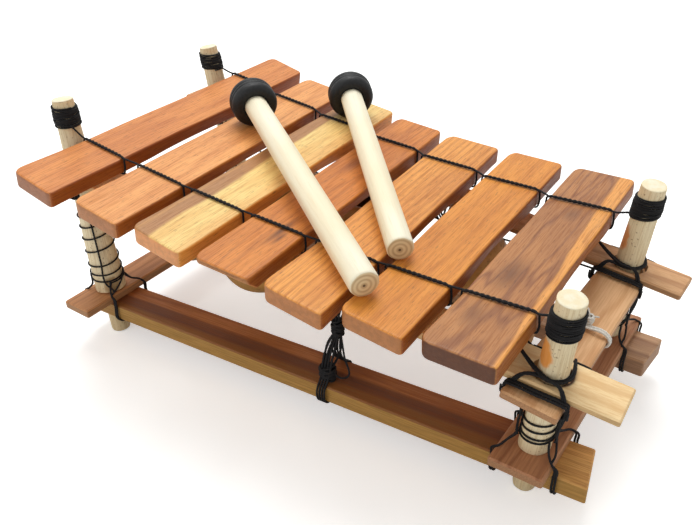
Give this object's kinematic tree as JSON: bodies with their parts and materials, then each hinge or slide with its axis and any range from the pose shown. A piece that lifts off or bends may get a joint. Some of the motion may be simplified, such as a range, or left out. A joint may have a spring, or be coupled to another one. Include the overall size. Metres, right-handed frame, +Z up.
{
  "type": "balafon",
  "caption": "Small frame balafon: a row of tuned wooden bars held on two cords over open gourd resonators, in a lashed stand of four round posts, with two mallets lying on the bars",
  "frame": {"origin": "on the ground, below the middle of the whole instrument's bounding box", "axes": "+X from the longest bar to the shortest, +Y from the player's side to the back, +Z up"},
  "size_m": [0.44, 0.2772, 0.1916],
  "materials": {
    "bar_wood_1": "oiled hardwood, dark orange brown",
    "bar_wood_2": "oiled hardwood, orange brown",
    "bar_wood_3": "oiled wood with a pale sapwood strip",
    "bar_wood_4": "oiled hardwood with dark knot streaks",
    "bar_wood_5": "oiled hardwood with a straight strong grain",
    "bar_wood_6": "oiled hardwood, orange brown",
    "bar_wood_7": "brown heartwood with an orange edge",
    "cord": "black twisted cord",
    "cotton": "white cotton string",
    "peeled_post": "peeled round branch, matt, speckled",
    "gourd": "dried gourd shell, satin",
    "mallet_wood": "peeled stick, matt",
    "mallet_rubber": "wound black rubber",
    "pale_board": "pale sawn board",
    "brown_board": "mid brown sawn board",
    "olive_board": "red brown sawn board with an olive front face",
    "plank": "light orange brown sawn plank"
  },
  "bodies": {
    "stand": {"front_bar_cord": "cord", "back_bar_cord": "cord", "left_front_post": "peeled_post", "left_front_top_winding": "cord", "right_front_post": "peeled_post", "right_front_top_winding": "cord", "left_back_post": "peeled_post", "left_back_top_winding": "cord", "right_back_post": "peeled_post", "right_back_top_winding": "cord", "lower_front_rail": "olive_board", "lower_back_rail": "olive_board", "lower_left_plank": "plank", "lower_right_plank": "plank", "upper_front_rail": "pale_board", "upper_back_rail": "brown_board", "upper_left_plank": "plank", "upper_right_plank": "plank", "front_gourd_cord": "cord", "gourd_1": "gourd", "gourd_3": "gourd", "gourd_5": "gourd", "gourd_7": "gourd", "back_gourd_cord": "cord", "gourd_2": "gourd", "gourd_4": "gourd", "gourd_6": "gourd", "left_front_lashing": "cord", "right_front_lashing": "cord", "left_back_lashing": "cord", "right_back_lashing": "cord", "front_centre_lashing": "cord", "back_centre_lashing": "cord", "white_tie": "cotton"},
    "bar_1_body": {"bar_1": "bar_wood_1", "bar_1_front_loop": "cord", "bar_1_back_loop": "cord"},
    "bar_2_body": {"bar_2": "bar_wood_2", "bar_2_front_loop": "cord", "bar_2_back_loop": "cord"},
    "bar_3_body": {"bar_3": "bar_wood_3", "bar_3_front_loop": "cord", "bar_3_back_loop": "cord"},
    "bar_4_body": {"bar_4": "bar_wood_4", "bar_4_front_loop": "cord", "bar_4_back_loop": "cord"},
    "bar_5_body": {"bar_5": "bar_wood_5", "bar_5_front_loop": "cord", "bar_5_back_loop": "cord"},
    "bar_6_body": {"bar_6": "bar_wood_6", "bar_6_front_loop": "cord", "bar_6_back_loop": "cord"},
    "bar_7_body": {"bar_7": "bar_wood_7", "bar_7_front_loop": "cord", "bar_7_back_loop": "cord"},
    "mallet_1_body": {"mallet_1_handle": "mallet_wood", "mallet_1_head": "mallet_rubber"},
    "mallet_2_body": {"mallet_2_handle": "mallet_wood", "mallet_2_head": "mallet_rubber"}
  },
  "joints": [
    {"name": "bar_1_bounce", "type": "slide", "parent": "stand", "child": "bar_1_body", "axis": [0, 0, 1], "range_m": [-0.0025, 0], "stiffness_N_per_m": 3000},
    {"name": "bar_2_bounce", "type": "slide", "parent": "stand", "child": "bar_2_body", "axis": [0, 0, 1], "range_m": [-0.0025, 0], "stiffness_N_per_m": 3000},
    {"name": "bar_3_bounce", "type": "slide", "parent": "stand", "child": "bar_3_body", "axis": [0, 0, 1], "range_m": [-0.0025, 0], "stiffness_N_per_m": 3000},
    {"name": "bar_4_bounce", "type": "slide", "parent": "stand", "child": "bar_4_body", "axis": [0, 0, 1], "range_m": [-0.0025, 0], "stiffness_N_per_m": 3000},
    {"name": "bar_5_bounce", "type": "slide", "parent": "stand", "child": "bar_5_body", "axis": [0, 0, 1], "range_m": [-0.0025, 0], "stiffness_N_per_m": 3000},
    {"name": "bar_6_bounce", "type": "slide", "parent": "stand", "child": "bar_6_body", "axis": [0, 0, 1], "range_m": [-0.0025, 0], "stiffness_N_per_m": 3000},
    {"name": "bar_7_bounce", "type": "slide", "parent": "stand", "child": "bar_7_body", "axis": [0, 0, 1], "range_m": [-0.0025, 0], "stiffness_N_per_m": 3000},
    {"name": "mallet_1_lift", "type": "slide", "parent": "stand", "child": "mallet_1_body", "axis": [0, 0, 1], "range_m": [0, 0.12]},
    {"name": "mallet_2_lift", "type": "slide", "parent": "stand", "child": "mallet_2_body", "axis": [0, 0, 1], "range_m": [0, 0.12]}
  ]
}
